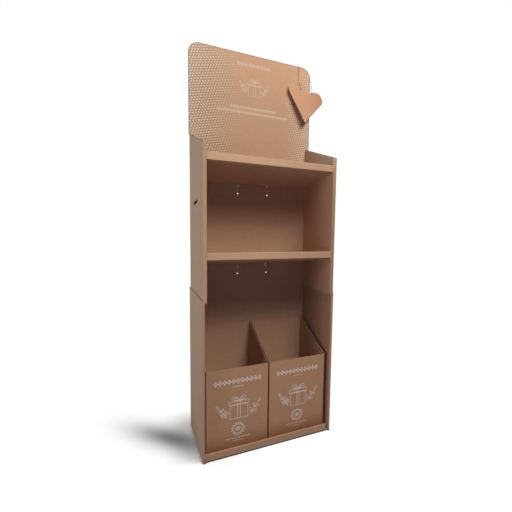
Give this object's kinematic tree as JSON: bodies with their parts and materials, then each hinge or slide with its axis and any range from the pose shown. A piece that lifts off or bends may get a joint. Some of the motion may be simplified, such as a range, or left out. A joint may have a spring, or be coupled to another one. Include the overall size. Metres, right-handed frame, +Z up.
{
  "type": "cardboard display stand",
  "caption": "Free-standing kraft cardboard floor display with shelves that slope to the back, open bins at the bottom, a header card and a hanging card heart.",
  "frame": {"origin": "middle of the footprint on the floor", "axes": "+X to the right as seen from the front, front faces -Y, +Z up"},
  "size_m": [0.6689, 0.35, 1.8322],
  "materials": {
    "body_board": "matt kraft liner",
    "header_board": "matt kraft liner with pale dots",
    "bin_board": "matt kraft liner with pale line print",
    "heart_card": "matt kraft card",
    "cord": "thin twisted cord"
  },
  "bodies": {
    "root": {"lower_body": "body_board", "upper_body": "body_board", "base_tray": "body_board", "base_support": "body_board", "middle_shelf": "body_board", "top_shelf": "body_board", "header_card": "header_board", "left_bin": "bin_board", "right_bin": "bin_board", "heart": "heart_card", "heart_cord": "cord", "cord_knots": "cord"}
  },
  "joints": []
}
